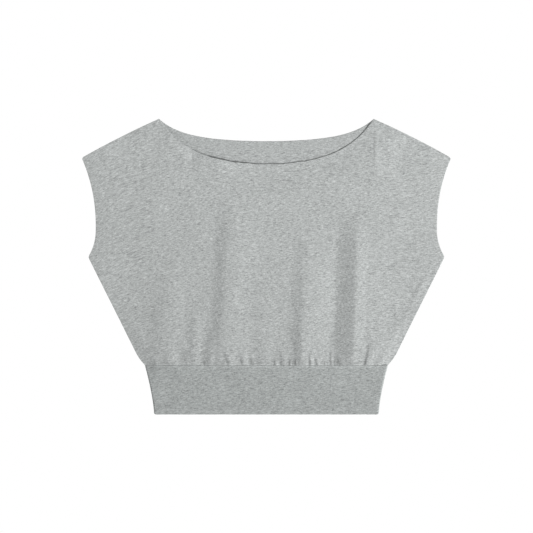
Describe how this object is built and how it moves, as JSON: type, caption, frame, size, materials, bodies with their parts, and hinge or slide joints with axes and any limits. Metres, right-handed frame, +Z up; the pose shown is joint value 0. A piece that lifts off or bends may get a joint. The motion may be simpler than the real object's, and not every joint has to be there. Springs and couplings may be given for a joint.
{
  "type": "crop t-shirt",
  "caption": "Cropped jersey top with a wide boat neck, cut-on cap sleeves and a gathered waistband, laid flat with its front up.",
  "frame": {"origin": "on the surface that the top rests on, in the middle of its outline", "axes": "+X to the right of the outer front seen from above, +Y from the hem to the neck, +Z up out of the front"},
  "size_m": [0.606, 0.4852, 0.0122],
  "materials": {
    "heather_jersey": "soft grey heather jersey, matt, finely streaked along the courses",
    "waistband_jersey": "the same grey heather jersey, doubled and slightly darker, smooth and unribbed"
  },
  "bodies": {
    "root": {"front_panel": "heather_jersey", "back_panel": "heather_jersey", "waistband": "waistband_jersey"}
  },
  "joints": []
}
